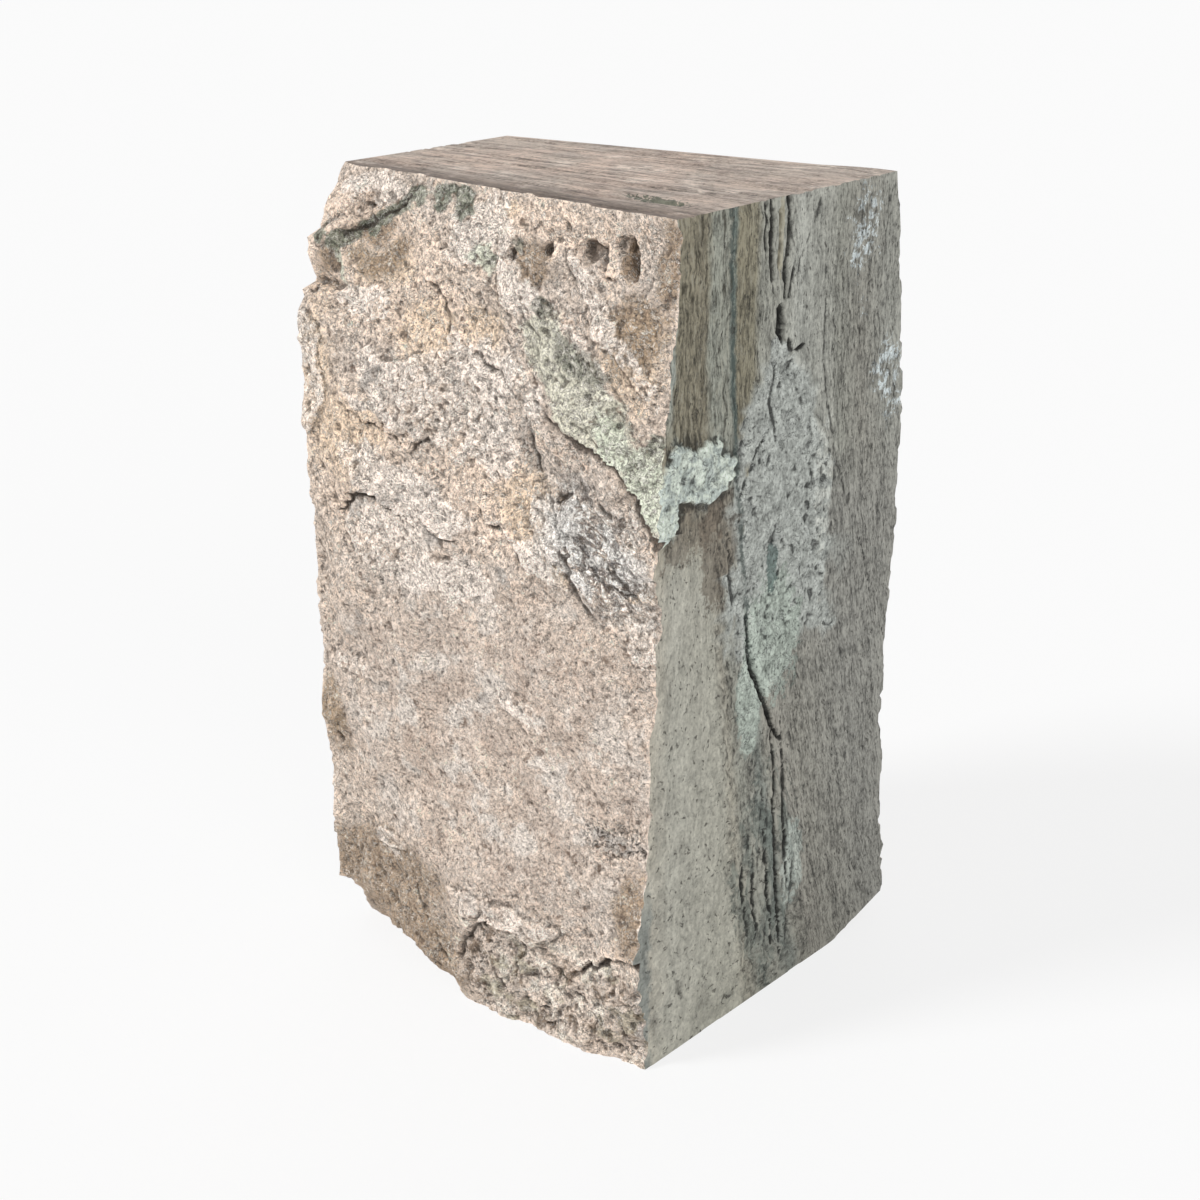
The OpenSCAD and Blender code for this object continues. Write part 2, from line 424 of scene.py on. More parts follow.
# Wear along the top's front edge and along both edges of the right end.
front_y = front_y + 3.0 * arris_wear(x, 16.0, 401) * np.exp(-(block_h - z) / 3.5)
front_y = front_y + 3.0 * arris_wear(z, 14.0, 402) * np.exp(-(right_x - x) / 3.5)
back_y = back_y - 4.0 * arris_wear(z, 13.0, 403) * np.exp(-(right_x - x) / 4.0)
y = mix(front_y, back_y, unit[:, 1] + 0.5)
x = x - on_right * end_relief(y, z)
z = z - on_top * top_relief(x, y)

# The lower back corner of the right end has lost a shallow chip along the base.
chip = np.clip((y - 116.0) / 74.0, 0.0, 1.0) * np.clip(1.0 - (right_x - x) / 150.0, 0.0, 1.0)
z = z + 20.0 * chip * np.clip(1.0 - z / 60.0, 0.0, 1.0)
place = np.stack([x, y, z], 1)
mesh.vertices.foreach_set("co", (place / METRE).ravel())
mesh.update()

# Painted shade and painted highlight: how far each point lies in a hollow or on a crest, against its
# neighbourhood. The shaders darken the hollows and lighten the crests.
ends = np.empty(len(mesh.edges) * 2, dtype=np.int32)
mesh.edges.foreach_get("vertices", ends)
ends = ends.reshape(-1, 2)
normals = np.empty(len(mesh.vertices) * 3)
mesh.vertices.foreach_get("normal", normals)
normals = normals.reshape(-1, 3)
links = np.bincount(ends.ravel(), minlength=len(place))[:, None]


def spread_out(points):
    """Each point moved to the mean of its neighbours."""
    total = np.stack([
        np.bincount(ends[:, 0], points[ends[:, 1], k], len(points))
        + np.bincount(ends[:, 1], points[ends[:, 0], k], len(points))
        for k in range(3)
    ], 1)
    return total / links


smooth = place
for _ in range(3):
    smooth = spread_out(smooth)
hollow_fine = ((smooth - place) * normals).sum(1)
for _ in range(12):
    smooth = spread_out(smooth)
hollow_wide = ((smooth - place) * normals).sum(1)
for name, values in (("hollow_fine", hollow_fine), ("hollow_wide", hollow_wide)):
    mesh.attributes.new(name, "FLOAT", "POINT").data.foreach_set("value", values)

# The flat saw cuts need few faces and the beds need many: collapse to the limit.
face_limit = 190000
rough_block = bpy.data.objects.new("rough_block", mesh)
bpy.context.scene.collection.objects.link(rough_block)
thin = rough_block.modifiers.new("thin", "DECIMATE")
thin.ratio = face_limit / (2 * len(mesh.polygons))
plain = rough_block.vertex_groups.new(name="plain_sides")
for weight, chosen in ((1.0, on_back), (1.0, on_left), (0.4, on_right), (0.8, on_top)):
    plain.add(np.nonzero(chosen)[0].tolist(), weight, "REPLACE")
thin.vertex_group = "plain_sides"
thin.vertex_group_factor = 0.00002
graph = bpy.context.evaluated_depsgraph_get()
mesh = bpy.data.meshes.new_from_object(rough_block.evaluated_get(graph))
mesh.name = "travertine_block"
bpy.data.objects.remove(rough_block)
mesh.set_sharp_from_angle(angle=math.radians(55.0))
block = bpy.data.objects.new("travertine_block", mesh)
bpy.context.scene.collection.objects.link(block)

# ---------------------------------------------------------------------------
# The stained patches and growths of the front bed, where the pale crust, the
# lichen, the ochre and the grey veins lie, and its painted shade: in the crevices,
# under the ledges, in the teal and partly in the brown. Each is kept on the mesh
# as its own attribute.
# ---------------------------------------------------------------------------
pale_patches = [
    (165, 455, 20, 8, -30), (60, 440, 40, 10, -30), (20, 520, 18, 26, 0), (186, 170, 4, 40, 0),
    (-60, 470, 70, 20, -20), (-30, 400, 60, 20, 0), (-70, 440, 50, 22, 0), (140, 470, 16, 7, -30),
    (110, 430, 14, 7, -30), (88, 462, 10, 8, 0), (-110, 116, 14, 8, -20), (48, 303, 24, 8, -25),
    (126, 452, 9, 5, -30), (150, 446, 8, 6, 0), (-14, 682, 34, 16, 35), (50, 641, 28, 9, -35),
    (12, 576, 26, 24, 0), (58, 560, 9, 18, 0), (-86, 534, 44, 6, -17), (-140, 708, 34, 12, 0),
    (-126, 622, 24, 7, 0),
]
lichen_line = [(62, 612), (90, 590), (118, 562), (150, 528), (192, 500)]
mint_patches = [
    (172, 520, 22, 40, -20), (140, 550, 26, 12, -30), (-148, 642, 5, 14, 10), (-8, 666, 16, 9, -30),
]
# Teal: painted shade, tinted blue-green, in the cracks and along the gap under the slanting ledge at the
# top left.
teal_patches = [
    (-88, 706, 13, 6, 20), (-32, 706, 15, 8, 0), (-150, 662, 14, 7, 20), (-60, 702, 12, 6, 0),
    (-170, 668, 10, 6, 0), (-128, 683, 20, 7, 26), (-104, 696, 20, 9, 30), (-48, 712, 26, 6, 0),
]
moss_patches = [(104, 606, 30, 15, -20), (62, 640, 12, 8, 0), (30, 676, 6, 8, 0), (180, 556, 7, 14, -50)]
ochre_patches = [
    (-130, 508, 50, 38, 0), (-172, 235, 16, 28, 0), (18, 706, 16, 9, 0), (-5, 612, 20, 18, 0),
    (-110, 650, 30, 14, 0), (55, 480, 36, 26, -40), (-165, 560, 20, 60, 0), (130, 452, 12, 7, -30),
    (-60, 600, 30, 22, 0), (90, 430, 14, 8, -30), (170, 430, 12, 10, 0), (150, 614, 30, 40, 0),
]
warm_patches = [
    (-110, 640, 80, 50, -20), (-150, 690, 40, 30, 0), (-130, 508, 60, 44, 0), (-60, 610, 50, 30, 0),
    (40, 700, 60, 16, 0), (-110, 440, 60, 30, 0), (20, 480, 60, 40, -30),
]
grey_patches = [
    (52, 522, 10, 22, 15), (-125, 340, 8, 8, 0), (-124, 124, 8, 6, 0), (-126, 123, 6, 5, 0),
    (-142, 328, 5, 6, 0), (-92, 462, 30, 6, 0), (-34, 440, 16, 8, -20), (-105, 560, 8, 10, 0),
    (110, 455, 50, 12, -36), (158, 446, 34, 10, -36), (90, 492, 8, 20, 30), (14, 300, 10, 8, 0),
    (-118, 452, 22, 8, 30), (150, 210, 20, 9, 0), (185, 80, 10, 60, 0), (53, 532, 6, 14, 15),
    (100, 505, 26, 8, -30), (30, 420, 12, 6, -30),
]
# Brown: partly the stone's brown stain, partly painted shade in the cracks and hollows and near the lower
# corners.
brown_patches = [
    (-128, 678, 22, 12, 30), (-160, 646, 12, 18, 0), (-100, 68, 40, 32, 0), (45, 668, 22, 14, 0),
    (-140, 30, 50, 30, 0), (-168, 230, 16, 32, 0), (172, 152, 18, 34, 0), (-40, 20, 40, 20, 0),
    (136, 686, 7, 18, 12), (-110, 100, 80, 30, 0), (176, 690, 12, 36, 0), (150, 634, 22, 30, -10),
    (-150, 80, 50, 40, 0), (-110, 655, 30, 10, 20), (-90, 60, 60, 40, 0), (-60, 30, 50, 50, 0),
]


def patches(p, q, places, rim=0.5):
    """Strength of the nearest of several ovals: 1 well inside it, 0 outside."""
    total = np.zeros(p.shape)
    for cx, cz, rx, rz, turn in places:
        total = np.maximum(total, ease((1.0 + rim - oval(p, q, (cx, cz), (rx, rz), turn)) / (2.0 * rim)))
    return total


spot = np.empty(len(mesh.vertices) * 3)
mesh.vertices.foreach_get("co", spot)
x, y, z = (spot.reshape(-1, 3) * METRE).T
on_front = (y < top_front_y + 20.0) * 1.0
wx, wz = fray(x, z)
# crust covers each crust. rim is a thin band just outside it on its lower side, painted as shade under the
# crust's edge.
crust, rim = np.zeros(x.shape), np.zeros(x.shape)
for each in bed_crusts:
    near = crust_nearness(x, z, each)
    crust = np.maximum(crust, ease((1.06 - near) / 0.1))
    rim = np.maximum(rim, ease((1.16 - near) / 0.08) * ease((each[1] + 10.0 - z) / 20.0))
rim = rim * (1.0 - crust)
px = x + 6.0 * grain(x, z, 22.0, 501) + 2.0 * grain(x, z, 7.0, 502)
pz = z + 6.0 * grain(x, z, 22.0, 505) + 2.0 * grain(x, z, 7.0, 506)
lichen_above = (trace(wx, wz, lichen_ledge)[1] > 0) * 1.0
lichen = ease((38.0 - trace(px, pz, lichen_line)[0]) / 22.0) * lichen_above
# Painted shade: the shadow under each ledge, shade in the clefts and pores, and shade under each crust's
# rim.
crevice_shade = np.zeros(x.shape)
for rise, _, line in bed_ledges:
    distance, side = trace(wx, wz, line)
    crevice_shade = np.maximum(crevice_shade, (side < 0) * ease(1.3 - distance / (1.5 + 0.16 * rise**2)))
for half_w, _, line in bed_clefts:
    gape = cleft_openness(x, z) * ease(1.0 - trace(wx, wz, line)[0] / half_w)
    crevice_shade = np.maximum(crevice_shade, 0.8 * gape)
for cx, cz, rx, rz, _, turn in bed_pores:
    crevice_shade = np.maximum(crevice_shade, 0.6 * ease(2.0 - 2.0 * oval(wx, wz, (cx, cz), (rx, rz), turn)))
crevice_shade = np.maximum(crevice_shade, 0.55 * rim)
calm = ease(1.4 - oval(x, z, (20, 260), (190, 170)))
stains_and_shade = {
    "crevice_shade": crevice_shade,
    "calm": calm,
    "veined": ease(1.5 - oval(px, pz, (122, 455), (62, 36), -36.0)),
    "speckled": ease(1.5 - oval(px, pz, (152, 211), (30, 17))),
    "pale": np.maximum(crust * (0.62 - 0.3 * calm), patches(px, pz, pale_patches)),
    "rugged": ease((104.0 - z) / 16.0) * ease((px + 20.0) / 24.0),
    "lichen": lichen,
    "mint": patches(px, pz, mint_patches) * np.where(px > 60.0, lichen_above, 1.0),
    "teal": patches(px, pz, teal_patches),
    "moss": patches(px, pz, moss_patches),
    "warm": patches(px, pz, warm_patches, 0.7),
    "ochre": patches(px, pz, ochre_patches, 0.7),
    "grey": patches(px, pz, grey_patches),
    "brown": patches(px, pz, brown_patches, 0.7),
}
on_lens = ease((1.04 - lens_nearness(y, z)) / 0.08)
end_marks = {
    "lens": on_lens,
    "edge_crust": ease((1.04 - edge_crust_nearness(y, z)) / 0.08),
    # slot: how deep a point lies in an open slot, for the painted shade in it.
    "slot": ease((right_x - x - 1.5) / 1.2) * (1.0 - 0.6 * on_lens),
}
for name, values in end_marks.items():
    mesh.attributes.new(name, "FLOAT", "POINT").data.foreach_set("value", values * (x > right_x - 20.0))
for name, values in stains_and_shade.items():
    mesh.attributes.new(name, "FLOAT", "POINT").data.foreach_set("value", values * on_front)


# ---------------------------------------------------------------------------
# The stone of the two beds: weathered travertine, beige to pinkish grey, with a
# flaking pale skin, dark pores, lichen and stains. Nothing on it is polished.
# ---------------------------------------------------------------------------
class Tint:
    """A shader socket used in plain arithmetic; each operation adds its Math node."""

    tree = None

    def __init__(self, socket):
        self.socket = socket

    @staticmethod
    def node(kind, settings=(), inputs=(), output=0):
        """Add one node, with its settings first and then its socket values or links."""
        made = Tint.tree.nodes.new(kind)
        for name, value in dict(settings).items():
            setattr(made, name, value)
        for name, value in dict(inputs).items():
            if isinstance(value, Tint):
                Tint.tree.links.new(value.socket, made.inputs[name])
            else:
                made.inputs[name].default_value = value
        return Tint(made.outputs[output])

    def math(self, operation, other=0.0, turned=False):
        first, second = (other, self) if turned else (self, other)
        return Tint.node("ShaderNodeMath", {"operation": operation}, {0: first, 1: second})

    def __add__(self, other):
        return self.math("ADD", other)

    def __sub__(self, other):
        return self.math("SUBTRACT", other)

    def __rsub__(self, other):
        return self.math("SUBTRACT", other, turned=True)

    def __mul__(self, other):
        return self.math("MULTIPLY", other)

    def __truediv__(self, other):
        return self.math("DIVIDE", other)

    def __pow__(self, other):
        return self.math("POWER", other)

    __radd__ = __add__
    __rmul__ = __mul__

    def over(self, other):
        return self.math("MAXIMUM", other)

    def under(self, other):
        return self.math("MINIMUM", other)

    def step(self, low, high):
        """Smooth rise from 0 at low to 1 at high; a fall where low is the greater."""
        settings = {"interpolation_type": "SMOOTHSTEP"}
        return Tint.node("ShaderNodeMapRange", settings, {"Value": self, "From Min": low, "From Max": high})

    def line(self, level, width):
        """A thin line where the value crosses a level: 1 on the line, 0 beside it."""
        return (self - level).math("ABSOLUTE").step(width, 0.0)


def colour(red, green, blue):
    """An sRGB colour of 0 to 255 as the linear colour that a shader takes."""
    parts = [part / 255.0 for part in (red, green, blue)]
    return tuple(p / 12.92 if p <= 0.04045 else ((p + 0.055) / 1.055) ** 2.4 for p in parts) + (1.0,)


def blend(first, second, share, mode="MIX"):
    """Colours mixed: all first at share 0, all second at share 1."""
    settings = {"data_type": "RGBA", "blend_type": mode}
    return Tint.node("ShaderNodeMix", settings, {0: share, 6: first, 7: second}, 2)


def attribute(name):
    return Tint.node("ShaderNodeAttribute", {"attribute_name": name}, output="Fac")


def cloud(where, size, detail=3.0, rough=0.55, distort=0.0):
    """Noise from 0 to 1 with lumps of a size in millimetres."""
    inputs = {
        "Vector": where, "Scale": 1.0 / size, "Detail": detail,
        "Roughness": rough, "Distortion": distort,
    }
    return Tint.node("ShaderNodeTexNoise", {"noise_dimensions": "3D"}, inputs, "Fac")


def stone(name):
    """A new stone material and the point on the block in millimetres."""
    material = bpy.data.materials.new(name)
    material.use_nodes = True
    Tint.tree = material.node_tree
    spot = Tint.node("ShaderNodeTexCoord", output="Object")
    scale = {"operation": "SCALE"}
    return material, Tint.node("ShaderNodeVectorMath", scale, {0: spot, "Scale": METRE})


def finish(material, shade, roughness, relief, depth_mm):
    """Give a stone its colour, its dull surface and its finest relief."""
    surface = material.node_tree.nodes["Principled BSDF"]
    surface.inputs["Specular IOR Level"].default_value = 0.35
    bump = Tint.node("ShaderNodeBump", {}, {
        "Height": relief, "Distance": depth_mm / METRE, "Strength": 1.0,
    }, "Normal")
    for socket, value in (("Base Color", shade), ("Roughness", roughness), ("Normal", bump)):
        Tint.tree.links.new(value.socket, surface.inputs[socket])


bed_stone, where = stone("weathered_bed")
hollow_fine = attribute("hollow_fine")
hollow_wide = attribute("hollow_wide")
calm = attribute("calm")
veined = attribute("veined")
speckled = attribute("speckled")
broad = cloud(where, 80.0, 4.0)
blotch = cloud(where, 22.0, 6.0, 0.65, 0.3)
flake = cloud(where, 8.0, 6.0, 0.62, 0.5)
crumb = cloud(where, 3.0, 4.0, 0.6, 0.3)
speck = cloud(where, 1.6, 2.0, 0.5)
curl = cloud(where, 13.0, 5.0, 0.62, 1.8)
frill = cloud(where, 6.5, 4.0, 0.6, 2.2)
ragged = (blotch - 0.5) * 1.2 + (flake - 0.5) * 1.6 + (crumb - 0.5) * 1.2

tint = blend(colour(230, 211, 194), colour(225, 209, 195), broad.step(0.42, 0.6))
tint = blend(tint, colour(240, 215, 194), blotch.step(0.5, 0.66) * 0.8)
tint = blend(tint, colour(206, 188, 172), blotch.step(0.47, 0.34) * 0.8)
tint = blend(tint, colour(210, 192, 178), calm * 0.7)
haze = cloud(where, 34.0, 5.0, 0.6)
tint = blend(tint, colour(236, 226, 216), calm * haze.step(0.52, 0.6) * 0.75)
tint = blend(tint, colour(190, 168, 152), calm * haze.step(0.46, 0.38) * 0.5)


def lay_stain_and_shade(shade, name, tone, strength=1.0, low=0.35, high=0.6):
    """Lay one of the bed's marks over the stone, with a ragged rim: most are stained patches and growths,
    the teal is painted shade and the brown is partly painted shade.
    """
    share = (attribute(name) + ragged).step(low, high)
    return blend(shade, tone, share * strength)


tint = lay_stain_and_shade(tint, "warm", colour(252, 228, 207), 0.75, 0.1, 0.8)
tint = lay_stain_and_shade(tint, "ochre", colour(243, 215, 182), 0.55, 0.2, 0.9)
# Brown: partly a brown stain, partly painted shade.
tint = lay_stain_and_shade(tint, "brown", colour(158, 135, 110), 0.8, 0.15, 0.8)
tint = lay_stain_and_shade(tint, "pale", colour(255, 242, 230), 0.78, 0.3, 0.75)
tint = lay_stain_and_shade(tint, "lichen", colour(218, 216, 197), 0.85, 0.25, 0.7)
tint = lay_stain_and_shade(tint, "mint", colour(213, 219, 199), 0.75, 0.25, 0.7)
# Teal painted shade in the cracks at the top left.
tint = lay_stain_and_shade(tint, "teal", colour(128, 138, 122), 0.8, 0.3, 0.8)
tint = lay_stain_and_shade(tint, "moss", colour(150, 149, 136), 0.7, 0.3, 0.8)
tint = lay_stain_and_shade(tint, "grey", colour(146, 140, 135), 0.6, 0.55, 1.0)
rugged = attribute("rugged")
tint = blend(tint, colour(246, 238, 224), rugged * blotch.step(0.52, 0.6) * 0.8)
tint = blend(tint, colour(150, 146, 122), rugged * cloud(where, 34.0, 4.0).step(0.54, 0.62) * 0.6)
tint = blend(tint, colour(116, 98, 80), rugged * blotch.step(0.44, 0.38) * 0.7)

slant = {"rotation_type": "AXIS_ANGLE"}
vein_place = Tint.node("ShaderNodeVectorRotate", slant, {
    "Vector": where, "Axis": (0.0, 1.0, 0.0), "Angle": streak_turn,
})
vein_place = Tint.node("ShaderNodeMapping", {}, {"Vector": vein_place, "Scale": (0.65, 1.0, 1.3)})
veins = cloud(vein_place, 15.0, 6.0, 0.66, 2.6)
chalky = (attribute("pale") + ragged * 0.4).step(0.3, 0.7)
tint = blend(tint, colour(66, 64, 66), veined * veins.step(0.49, 0.43) * (1.0 - chalky * 0.8) * 0.95)
tint = blend(tint, colour(255, 252, 247), veined * veins.step(0.515, 0.55).over(chalky * 0.8) * 0.95)
tint = blend(tint, colour(84, 76, 68), speckled * crumb.step(0.49, 0.43) * 0.85)
# Dark flecks on the moss, and on the teal painted shade of the cracks.
moss_and_shade = (attribute("teal").over(attribute("moss")) + ragged * 0.5).step(0.4, 0.8)
tint = blend(tint, colour(78, 82, 70), moss_and_shade * flake.step(0.5, 0.43) * 0.65)
tint = blend(tint, colour(52, 54, 46), moss_and_shade * crumb.step(0.47, 0.4) * 0.6)

# Plates of the skin lift and break off: a painted shadow line under each rim and a painted highlight on it.
lifted = blotch.step(0.45, 0.53) * (1.0 - calm * 0.6)
curled = (lifted + veined * 0.5).under(1.0)
frilled = (flake.step(0.46, 0.52) * (1.0 - calm * 0.3) + veined * 0.4).under(1.0)
skin = curl.step(0.495, 0.52)
light = (flake - 0.5) * 2.3 + (crumb - 0.5) * 2.4 + (speck - 0.5) * 1.4 + (blotch - 0.5) * 0.9 + 1.09
# Painted shade in the small and broad hollows, and a painted highlight on the crests.
light = light - hollow_fine.step(0.05, 0.7) * 0.5 + hollow_fine.step(-0.05, -0.7) * 0.25
light = light - hollow_wide.step(0.8, 4.0) * 0.35
shade = blend(tint, light.over(0.3).under(1.36), 1.0, "MULTIPLY")
shade = blend(shade, colour(122, 100, 84), flake.step(0.39, 0.33) * (0.6 - attribute("pale") * 0.25))
shade = blend(shade, colour(96, 82, 72), curl.line(0.492, 0.018) * curled * 0.8)
shade = blend(shade, colour(98, 84, 72), frill.line(0.5, 0.03) * frilled * 0.75)
shade = blend(shade, colour(255, 250, 242), curl.line(0.525, 0.018) * curled * 0.8)
shade = blend(shade, colour(255, 248, 240), frill.line(0.548, 0.03) * frilled * 0.8)
shade = blend(shade, colour(255, 249, 241), crumb.step(0.57, 0.66) * frilled * 0.6)
shade = blend(shade, colour(58, 54, 52), veins.line(0.5, 0.022) * veined * 0.8)
shade = blend(shade, colour(82, 69, 59), crumb.step(0.375, 0.31) * (0.8 - attribute("pale") * 0.35))
# Painted shade in the clefts and pores, and painted shadow under the ledges and the crust rims.
shade = blend(shade, colour(72, 62, 54), (attribute("crevice_shade") + ragged * 0.6).step(0.35, 0.85) * 0.85)
relief = skin * (curled * 0.9 + 0.1) + frill.step(0.5, 0.54) * frilled * 0.5
relief = relief + flake * 0.6 + crumb * 0.9 + speck * 0.3
finish(bed_stone, shade, 0.95 - skin * 0.1, relief, 1.8)

# ---------------------------------------------------------------------------
# The stone of the sawn ends: the same travertine cut across its beds, so that
# they show as upright bands of grey, olive and taupe that fan out downwards.
# ---------------------------------------------------------------------------
end_stone, where = stone("sawn_end")


def coordinates(where):
    parts = Tint.node("ShaderNodeSeparateXYZ", {}, {0: where}).socket.node
    return [Tint(socket) for socket in parts.outputs]


fan_width = 75.0


def bedding(x, y, z):
    """How deep in the beds a point lies, in millimetres from the front at the top."""
    spread = ((650.0 - z) / 630.0).over(0.0) ** 1.5 * 1.7 + 1.0
    close = top_depth_left / top_depth_right
    taper = x * ((1.0 - close) / block_w) + (1.0 + close) / 2.0
    inward = (y - top_front_y) / taper
    return (inward / spread).under(fan_width) + (inward - spread * fan_width).over(0.0)


def banded(bed, side, along, across_mm, along_mm, detail=4.0):
    """Streaks that run with the beds: thin across them and long along them."""
    place = Tint.node("ShaderNodeCombineXYZ", {}, {
        0: bed / across_mm, 1: along / along_mm, 2: side / along_mm,
    })
    inputs = {"Vector": place, "Scale": 1.0, "Detail": detail, "Roughness": 0.6}
    return Tint.node("ShaderNodeTexNoise", {}, inputs, "Fac")


def ramp(value, low, high, stops):
    """A colour for each value: stops are pairs of value and colour."""
    made = Tint.node("ShaderNodeValToRGB", {}, {0: (value - low) / (high - low)})
    band = made.socket.node.color_ramp
    for element, stop in zip(band.elements, (stops[0], stops[-1])):
        element.position = (stop[0] - low) / (high - low)
        element.color = colour(*stop[1])
    for position, tone in stops[1:-1]:
        band.elements.new((position - low) / (high - low)).color = colour(*tone)
    return made


def patch(p, q, centre, radii, raggedness=0.0):
    """An oval patch: 1 inside, 0 outside, with a rim shifted by raggedness."""
    across, up = (p - centre[0]) / radii[0], (q - centre[1]) / radii[1]
    near = (across * across + up * up) ** 0.5 + raggedness
    return near.step(1.1, 0.9)


x, y, z = coordinates(where)
right_half = x.step(-10.0, 10.0)
hollow = attribute("hollow_fine")
bend = cloud(where, 90.0, 2.0) - 0.5
waver = cloud(where, 16.0, 3.0) - 0.5
bed = bedding(x, y, z) + bend * 9.0 + waver * 8.0
flake = cloud(where, 10.0, 6.0, 0.62, 0.4)
blotch = cloud(where, 26.0, 5.0, 0.6, 0.4)
crumb = cloud(where, 3.0, 4.0, 0.6)
curl = cloud(where, 12.0, 4.0, 0.6, 1.0)
wide_streak = banded(bed, x, z, 8.0, 90.0)
thin_streak = banded(bed, x, z, 3.2, 26.0)
scratch = banded(bed, x, z, 1.7, 8.0, 3.0)
ragged = (blotch - 0.5) * 2.0 + (flake - 0.5) * 2.0 + (crumb - 0.5) * 1.2

upper = ramp(bed, -30.0, 280.0, [
    (-30, (154, 144, 128)), (0, (139, 133, 115)), (34, (134, 128, 111)), (41, (156, 158, 147)),
    (61, (151, 152, 141)), (64, (112, 121, 115)), (67, (112, 121, 114)), (70, (139, 133, 114)),
    (92, (141, 136, 118)), (100, (158, 158, 148)), (130, (162, 162, 153)), (148, (176, 177, 169)),
    (188, (172, 172, 163)), (200, (151, 151, 142)), (235, (155, 153, 144)), (270, (159, 159, 151)),
])
lower = ramp(bed, -30.0, 280.0, [
    (-15, (182, 176, 162)), (2, (190, 188, 176)), (36, (186, 184, 171)), (42, (162, 158, 145)),
    (50, (150, 150, 140)), (58, (156, 155, 145)), (64, (134, 138, 131)), (70, (154, 152, 142)),
    (82, (154, 151, 142)), (110, (152, 150, 141)), (180, (153, 152, 145)),
])
tint = blend(lower, upper, (z + ragged * 30.0).step(430.0, 520.0))


def mark(centre, radii, raggedness):
    """A patch that only the right-hand end carries; the left end is plainer."""
    return patch(y, z, centre, radii, raggedness) * right_half


dark_wedge = mark((5, 120), (46, 108), ragged * 0.5)
tint = blend(tint, colour(98, 110, 105), dark_wedge * wide_streak.step(0.56, 0.44) * 0.55)
fibrous = mark((-72, 455), (24, 55), ragged * 0.5)
tint = blend(tint, colour(122, 112, 99), fibrous * 0.7)
lens = attribute("lens")
tint = blend(tint, colour(191, 195, 189), lens * 0.95)
rim = mark((64, 470), (12, 66), ragged * 0.7)
tint = blend(tint, colour(206, 208, 200), rim * flake.step(0.48, 0.54) * 0.8)
green_low = mark((2, 352), (38, 60), ragged * 0.6).over(mark((-26, 305), (17, 55), ragged * 0.5))
tint = blend(tint, colour(190, 200, 189), green_low * 0.95)
tint = blend(tint, colour(186, 194, 186), mark((46, 118), (14, 44), ragged * 0.8) * 0.7)
tint = blend(tint, colour(92, 116, 112), mark((0, 418), (7, 22), ragged) * 0.7)
edge_crust = attribute("edge_crust")
tint = blend(tint, colour(222, 231, 219), edge_crust * 0.95)
tint = blend(tint, colour(196, 208, 206), edge_crust * flake.step(0.5, 0.45) * 0.5)
flecks = mark((106, 676), (20, 40), ragged * 1.6).over(mark((152, 545), (22, 34), ragged * 1.6))
tint = blend(tint, colour(214, 223, 224), flecks * flake.step(0.46, 0.54) * 0.9)
smeared = mark((-108, 478), (40, 24), ragged * 1.6) * (1.0 - edge_crust)
tint = blend(tint, colour(116, 103, 89), smeared * 0.5)
front_rim = bed + ragged * 3.0
tint = blend(tint, colour(176, 184, 178), front_rim.step(3.0, -2.0) * z.step(540.0, 600.0) * 0.7)
low_rim = front_rim.step(-6.0, -10.0) * z.step(200.0, 140.0) * right_half
tint = blend(tint, colour(124, 132, 130), low_rim * 0.7)

vein_y = (550.0 - z).over(0.0) * 0.145 - (z - 550.0).over(0.0) * 0.06 - 56.0
vein = (y - vein_y + ragged * 8.0).math("ABSOLUTE").step(4.5, 1.0)
vein = vein * z.step(320.0, 350.0) * right_half
crusted = lens.over(edge_crust).over(green_low)
fresh = (bed.step(36.0, 42.0)).over(z.step(430.0, 520.0)) * 0.4 + 0.6
smooth_band = bed.step(140.0, 150.0) * bed.step(192.0, 184.0) * z.step(470.0, 520.0)
quiet = bed.step(42.0, 34.0) * z.step(500.0, 420.0)
fresh = fresh * (1.0 - smooth_band * 0.5) * (1.0 - crusted * 0.85) * (1.0 - quiet * 0.35)
light = (scratch - 0.5) * fresh * 2.6 + (thin_streak - 0.5) * fresh * 2.0
light = light + (wide_streak - 0.5) * (1.0 - crusted * 0.8) * (1.0 - quiet * 0.5) * 1.5
light = light + (crumb - 0.5) * (crusted * 0.6 - quiet * 0.5 + 1.4) + 1.0
light = light + (flake - 0.5) * (crusted * 1.0 - quiet * 0.7 + 1.1)
# Painted shade in the hollows and a painted highlight on the crests.
light = light - hollow.step(0.05, 0.6) * 0.75 + hollow.step(-0.05, -0.5) * 0.2
pore = banded(bed, x, z, 1.9, 6.0, 2.0).step(0.37, 0.30)
shade = blend(tint, light.over(0.2).under(1.5), 1.0, "MULTIPLY")
olive = bed.step(100.0, 92.0) * z.step(500.0, 560.0) * (1.0 - crusted)
shade = blend(shade, colour(74, 70, 57), olive * thin_streak.step(0.46, 0.38) * 0.55)
shade = blend(shade, colour(176, 172, 156), olive * thin_streak.step(0.55, 0.64) * 0.45)
shade = blend(shade, colour(66, 64, 58), pore * (1.0 - crusted * 0.7) * 0.75)
# Lifted plates of the crusts: a painted shadow line at each foot and a painted highlight along each edge.
lifted = blotch.step(0.47, 0.54)
shade = blend(shade, colour(70, 74, 70), curl.line(0.5, 0.016) * lifted * (crusted * 0.6 + 0.2))
shade = blend(shade, colour(232, 236, 232), curl.line(0.53, 0.014) * lifted * (crusted * 0.5 + 0.1))
shade = blend(shade, colour(60, 64, 60), crumb.step(0.37, 0.31) * (crusted * 0.5 + 0.4))
shade = blend(shade, colour(72, 84, 80), vein * flake.step(0.40, 0.5) * 0.75)
shade = blend(shade, colour(198, 190, 164), mark((-5, 690), (3, 32), ragged * 0.6) * 0.55)
